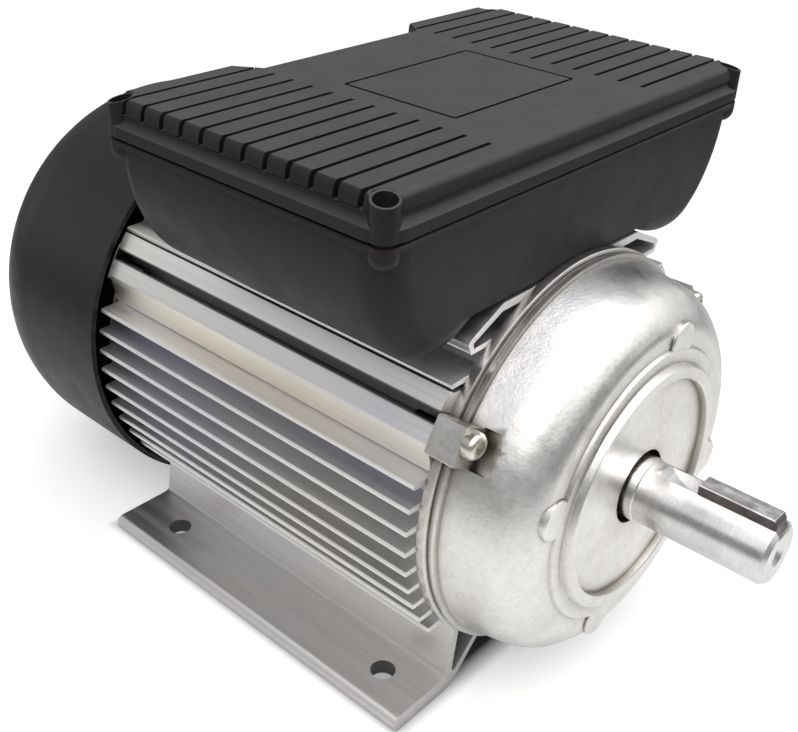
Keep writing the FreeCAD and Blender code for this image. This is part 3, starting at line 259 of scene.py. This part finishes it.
def painted(name, base, rough, spec=0.5):
    m = Mat(name, base, 0.0, rough, spec)
    cloud = m.noise(22.0, 3.0, 0.55)
    m.colour(m.ramp(cloud, [(0.3, tuple(q * 0.8 for q in base)), (0.7, tuple(q * 1.2 for q in base))]))
    m.rough(m.rng(m.noise(90.0, 4.0, 0.6), rough * 0.86, rough * 1.2))
    m.bump(m.noise(650.0, 2.0, 0.5), 0.10, 0.00012)
    m.bump(m.noise(60.0, 2.0, 0.5), 0.06, 0.0004)
    return m.m


def rubber(name, base):
    m = Mat(name, base, 0.0, 0.7, 0.3)
    m.colour(m.ramp(m.noise(50.0, 3.0), [(0.3, tuple(q * 0.7 for q in base)), (0.7, tuple(q * 1.3 for q in base))]))
    m.bump(m.noise(900.0, 2.0), 0.3, 0.0001)
    return m.m


def laminated(name, base):
    m = Mat(name, base, 0.9, 0.4)
    w = m.wave(320.0, "X", 0.0)
    m.colour(m.mix(m.ramp(m.noise(40.0, 3.0), [(0.3, tuple(q * 0.8 for q in base)), (0.7, base)]), m.ramp(w, [(0.2, (0.55, 0.55, 0.55)), (0.6, (1.0, 1.0, 1.0))]), 0.8, "MULTIPLY"))
    m.bump(w, 0.3, 0.0001)
    return m.m


def wound_copper(name, base):
    m = Mat(name, base, 0.75, 0.3)
    w = m.noise(420.0, 2.0, 0.5, m.mapped((1.0, 0.25, 0.25)))
    m.colour(m.ramp(w, [(0.3, tuple(q * 0.35 for q in base)), (0.55, base), (0.8, tuple(min(1.0, q * 1.35) for q in base))]))
    m.bump(w, 0.7, 0.0006)
    return m.m


def key_steel():
    m = Mat("key_steel", (0.4, 0.39, 0.38), 1.0, 0.34)
    # painted light: by the normal, the top gets bright diagonal streaks as painted highlights and the sides a dark
    # brown as painted shade
    streak = m.noise(160.0, 4.0, 0.7, m.mapped((0.35, 1.0, 1.0), (0.0, 0.0, 0.7)))
    top = m.ramp(streak, [(0.35, (0.42, 0.41, 0.40)), (0.52, (0.62, 0.61, 0.60)), (0.60, (0.92, 0.92, 0.92))])
    painted_flank_shading = m.ramp(m.noise(220.0, 3.0), [(0.3, (0.085, 0.070, 0.066)), (0.7, (0.17, 0.145, 0.14))])
    m.colour(m.mix(painted_flank_shading, top, m.rng(m.normal()[2], 0.0, 1.0, 0.35, 0.8)))
    m.rough(m.rng(m.noise(180.0, 3.0, 0.6), 0.26, 0.46))
    m.bump(streak, 0.25, 0.00012)
    return m.m


LIB = {
    "frame_aluminium": extruded_aluminium(),
    "cast_aluminium": cast_aluminium(),
    "screw_steel": steel("screw_steel", (0.84, 0.81, 0.73), 0.26, None, 0.7, True),
    "shaft_steel": steel("shaft_steel", (0.86, 0.85, 0.845), 0.24, True, 0.80),
    "key_steel": key_steel(),
    "bearing_steel": steel("bearing_steel", (0.72, 0.72, 0.73), 0.16),
    "rubber_seal": rubber("rubber_seal", (0.018, 0.018, 0.018)),
    "electrical_steel": laminated("electrical_steel", (0.30, 0.31, 0.33)),
    "rotor_aluminium": steel("rotor_aluminium", (0.72, 0.72, 0.73), 0.42),
    "copper_winding": wound_copper("copper_winding", (0.60, 0.22, 0.09)),
    "cover_black": painted("cover_black", (0.014, 0.014, 0.0155), 0.36, 0.30),
    "box_black": plastic("box_black", (0.0130, 0.0100, 0.0102), 0.44, 1500.0, 0.20, (1.0, 0.93, 0.92), 0.24, None, (0.003, 0.003, 0.003)),
    "lid_black": plastic("lid_black", (0.010, 0.0095, 0.0097), 0.44, 1300.0, 0.30, (1.0, 0.96, 0.96), 0.24, (0.052, 0.0515, 0.052), (0.0065, 0.0064, 0.0064)),
    "fan_plastic": plastic("fan_plastic", (0.03, 0.03, 0.034), 0.5),
    "board_plastic": plastic("board_plastic", (0.20, 0.05, 0.022), 0.35),
    "capacitor_case": plastic("capacitor_case", (0.62, 0.62, 0.60), 0.3, 900.0, 0.05),
    "stud_brass": steel("stud_brass", (0.80, 0.58, 0.25), 0.25),
    "gland_plastic": plastic("gland_plastic", (0.03, 0.03, 0.03), 0.42, 1200.0, 0.15),
    "lead_sleeve": plastic("lead_sleeve", (0.60, 0.54, 0.38), 0.6, 1800.0, 0.4),
}

slots = {s["node"]: s["material_slot"] for s in record["subparts"]}
BEVEL = {
    "stator_frame": 0.00030, "drive_end_shield": 0.00045, "rear_end_shield": 0.0004, "terminal_box_lid": 0.00050, "terminal_box_base": 0.0005,
    "fan_cover": 0.0005, "shaft": 0.00025, "shaft_key": 0.00025, "drive_end_screws": 0.0002, "rear_end_screws": 0.0002, "fan_cover_screws": 0.00015,
    "lid_screws": 0.00012, "cable_gland_body": 0.0004, "cable_gland_nut": 0.0004, "cooling_fan": 0.0004,
}
for name, ob in nodes.items():
    m = LIB[slots[name]]
    ob.data.materials.clear()
    ob.data.materials.append(m)
    w = ob.modifiers.new("weld", "WELD")
    w.merge_threshold = 0.000002
    if name in BEVEL:
        d = ob.modifiers.new("flat", "DECIMATE")
        d.decimate_type = "DISSOLVE"
        d.angle_limit = math.radians(0.6)
        b = ob.modifiers.new("edge", "BEVEL")
        b.width = BEVEL[name]
        b.segments = 2
        b.limit_method = "ANGLE"
        b.angle_limit = math.radians(32)
        b.use_clamp_overlap = True
        b.harden_normals = False
        wn = ob.modifiers.new("normals", "WEIGHTED_NORMAL")
        wn.mode = "FACE_AREA"
        wn.weight = 50
        wn.keep_sharp = True
    else:
        es = ob.modifiers.new("split", "EDGE_SPLIT")
        es.split_angle = math.radians(32)
    for p in ob.data.polygons:
        p.use_smooth = True
    ob.data.update()

# ------------------------------------------------------------ floor
bm_size = 6.0
me = bpy.data.meshes.new("floor")
n = 24
verts, faces = [], []
for i in range(n + 1):
    for j in range(n + 1):
        verts.append(((i / n - 0.5) * bm_size, (j / n - 0.5) * bm_size, -0.0004))
for i in range(n):
    for j in range(n):
        a = i * (n + 1) + j
        faces.append((a, a + 1, a + n + 2, a + n + 1))
me.from_pydata(verts, [], faces)
me.update()
floor = bpy.data.objects.new("floor", me)
scene.collection.objects.link(floor)
fm = Mat("floor_pale", (0.62, 0.62, 0.62), 0.0, 0.9, 0.0)
fm.b.inputs["Emission Color"].default_value = (1.0, 1.0, 1.0, 1.0)
fm.b.inputs["Emission Strength"].default_value = 0.30
gx = fm.xyz()


def away(sock, half, edge):
    a = fm.t.nodes.new("ShaderNodeMath")
    a.operation = "ABSOLUTE"
    fm.t.links.new(sock, a.inputs[0])
    return fm.rng(a.outputs[0], 0.0, 1.0, half - edge, half)


# painted shadow: within the motor's footprint the floor colour is darkened to a tenth and the camera-only glow is
# off
glow = fm.add(away(fm.add(gx[0], 0.004), 0.092, 0.010), away(gx[1], 0.088, 0.010), "MAXIMUM")
# painted light: a glowing disc on the floor under each bolt hole, seen through the holes
hx = fm.add(fm.add(fm.add(gx[0], 0.0, "ABSOLUTE"), -0.0625), 2.0, "POWER")
hy = fm.add(fm.add(fm.add(gx[1], 0.0, "ABSOLUTE"), -0.0700), 2.0, "POWER")
spot = fm.rng(fm.add(fm.add(hx, hy), 0.5, "POWER"), 1.0, 0.0, 0.0060, 0.0095)
rho = fm.add(fm.add(fm.add(gx[0], -0.05), 2.0, "POWER"), fm.add(gx[1], 2.0, "POWER"))
far = fm.rng(fm.add(rho, 0.5, "POWER"), 0.0, 1.0, 0.20, 0.85)
paper = fm.ramp(fm.noise(3.0, 2.0), [(0.3, (0.71, 0.71, 0.705)), (0.7, (0.73, 0.73, 0.725))])
shade = fm.ramp(glow, [(0.0, (0.10, 0.10, 0.10)), (1.0, (1.0, 1.0, 1.0))])
fm.colour(fm.mix(fm.mix(paper, shade, 1.0, "MULTIPLY"), (0.16, 0.16, 0.16), far))
path = fm.t.nodes.new("ShaderNodeLightPath")
lit = fm.add(fm.add(glow, fm.add(fm.add(far, 0.47, "MULTIPLY"), 0.38), "MULTIPLY"), fm.add(spot, 0.34, "MULTIPLY"), "MAXIMUM")
fm.t.links.new(fm.add(lit, path.outputs["Is Camera Ray"], "MULTIPLY"), fm.b.inputs["Emission Strength"])
me.materials.append(fm.m)

# ------------------------------------------------------------ world and lights
world = bpy.data.worlds.new("studio")
scene.world = world
world.use_nodes = True
wt = world.node_tree
bg = wt.nodes["Background"]
tc = wt.nodes.new("ShaderNodeTexCoord")
sp = wt.nodes.new("ShaderNodeSeparateXYZ")
wt.links.new(tc.outputs["Generated"], sp.inputs[0])
rp = wt.nodes.new("ShaderNodeValToRGB")
els = rp.color_ramp.elements
els[0].position, els[0].color = 0.0, (0.50, 0.50, 0.50, 1)
els[1].position, els[1].color = 1.0, (0.95, 0.95, 0.96, 1)
for pos, v in ((0.46, 0.30), (0.50, 0.24), (0.58, 0.25), (0.80, 0.34), (0.90, 0.62)):
    e = els.new(pos)
    e.color = (v, v, v * 1.01, 1)
zz = wt.nodes.new("ShaderNodeMapRange")
zz.inputs["From Min"].default_value = -1.0
zz.inputs["From Max"].default_value = 1.0
wt.links.new(sp.outputs["Z"], zz.inputs["Value"])
wt.links.new(zz.outputs["Result"], rp.inputs["Fac"])
total = rp.outputs["Color"]
nrm = wt.nodes.new("ShaderNodeVectorMath")
nrm.operation = "NORMALIZE"
wt.links.new(tc.outputs["Generated"], nrm.inputs[0])


def soft_card(az_deg, el_deg, inner, outer, value, tint=(1.0, 1.0, 1.0)):
    # a broad soft light in the direction az (0 = -Y, 90 = +X), el
    global total
    a_, e_ = math.radians(az_deg), math.radians(el_deg)
    d = wt.nodes.new("ShaderNodeVectorMath")
    d.operation = "DOT_PRODUCT"
    wt.links.new(nrm.outputs[0], d.inputs[0])
    d.inputs[1].default_value = (math.sin(a_) * math.cos(e_), -math.cos(a_) * math.cos(e_), math.sin(e_))
    mr = wt.nodes.new("ShaderNodeMapRange")
    mr.interpolation_type = "SMOOTHSTEP"
    mr.inputs["From Min"].default_value = math.cos(math.radians(outer))
    mr.inputs["From Max"].default_value = math.cos(math.radians(inner))
    wt.links.new(d.outputs["Value"], mr.inputs["Value"])
    mm = wt.nodes.new("ShaderNodeMix")
    mm.data_type = "RGBA"
    mm.blend_type = "ADD"
    mm.clamp_result = False
    mm.inputs[7].default_value = tuple(value * q for q in tint) + (1.0,)
    wt.links.new(mr.outputs["Result"], mm.inputs["Factor"])
    wt.links.new(total, mm.inputs[6])
    total = mm.outputs[2]



def smooth(sock, lo, hi):
    mr = wt.nodes.new("ShaderNodeMapRange")
    mr.interpolation_type = "SMOOTHSTEP"
    mr.inputs["From Min"].default_value = lo
    mr.inputs["From Max"].default_value = hi
    wt.links.new(sock, mr.inputs["Value"])
    return mr.outputs["Result"]


side = wt.nodes.new("ShaderNodeVectorMath")
side.operation = "DOT_PRODUCT"
wt.links.new(nrm.outputs[0], side.inputs[0])
side.inputs[1].default_value = (math.sin(math.radians(70.0)), -math.cos(math.radians(70.0)), 0.0)
up = wt.nodes.new("ShaderNodeSeparateXYZ")
wt.links.new(nrm.outputs[0], up.inputs[0])
both = wt.nodes.new("ShaderNodeMath")
both.operation = "MULTIPLY"
wt.links.new(smooth(side.outputs["Value"], -0.12, 0.10), both.inputs[0])
wt.links.new(smooth(up.outputs["Z"], 0.27, 0.52), both.inputs[1])
sky = wt.nodes.new("ShaderNodeMix")
sky.data_type = "RGBA"
sky.blend_type = "ADD"
sky.clamp_result = False
sky.inputs[7].default_value = (1.0, 1.0, 1.0, 1.0)
wt.links.new(both.outputs[0], sky.inputs["Factor"])
wt.links.new(total, sky.inputs[6])
total = sky.outputs[2]
soft_card(-90.0, 78.0, 10.0, 34.0, 0.50)
soft_card(-60.0, 10.0, 10.0, 28.0, 0.50, (1.0, 0.985, 0.96))
soft_card(158.0, 12.0, 14.0, 42.0, 0.50)
wt.links.new(total, bg.inputs["Color"])
bg.inputs["Strength"].default_value = 1.0
bg2 = wt.nodes.new("ShaderNodeBackground")
bg2.inputs["Color"].default_value = (1, 1, 1, 1)
bg2.inputs["Strength"].default_value = 1.0
lp = wt.nodes.new("ShaderNodeLightPath")
mx = wt.nodes.new("ShaderNodeMixShader")
wt.links.new(lp.outputs["Is Camera Ray"], mx.inputs["Fac"])
wt.links.new(bg.outputs[0], mx.inputs[1])
wt.links.new(bg2.outputs[0], mx.inputs[2])
wt.links.new(mx.outputs[0], wt.nodes["World Output"].inputs["Surface"])


def area(name, loc, target, size, energy, colour=(1, 1, 1), size_y=None):
    l = bpy.data.lights.new(name, "AREA")
    l.energy = energy
    l.color = colour
    l.size = size
    if size_y:
        l.shape = "RECTANGLE"
        l.size_y = size_y
    o = bpy.data.objects.new(name, l)
    o.location = loc
    o.rotation_euler = (Vector(target) - Vector(loc)).to_track_quat("-Z", "Y").to_euler()
    scene.collection.objects.link(o)
    return o


area("key", (0.55, -0.75, 1.35), (0.05, 0.0, 0.09), 0.7, 5.0, (1.0, 0.995, 0.985), 0.7)
area("top", (0.1, 0.45, 1.6), (0.0, 0.0, 0.1), 1.2, 5.0, (1.0, 1.0, 1.0))

# ------------------------------------------------------------ camera
az, el, roll = math.radians(40.57), math.radians(30.79), math.radians(-2.56)
back = Vector((math.sin(az) * math.cos(el), -math.cos(az) * math.cos(el), math.sin(el)))
fwd = -back
right = fwd.cross(Vector((0, 0, 1))).normalized()
down = fwd.cross(right)
r2 = math.cos(roll) * right + math.sin(roll) * down
d2 = -math.sin(roll) * right + math.cos(roll) * down
cd = bpy.data.cameras.new("camera")
cam = bpy.data.objects.new("camera", cd)
scene.collection.objects.link(cam)
mw = Matrix.Identity(4)
for i, v in enumerate((r2, -d2, back)):
    for k in range(3):
        mw[k][i] = v[k]
mw.translation = Vector((0.26465, -0.30458, 0.32974))
cam.matrix_world = mw
cd.sensor_width = 36.0
cd.lens = 49.79
cd.clip_start = 0.01
cd.clip_end = 50.0
scene.camera = cam
scene.view_settings.view_transform = "Standard"

bpy.context.view_layer.update()
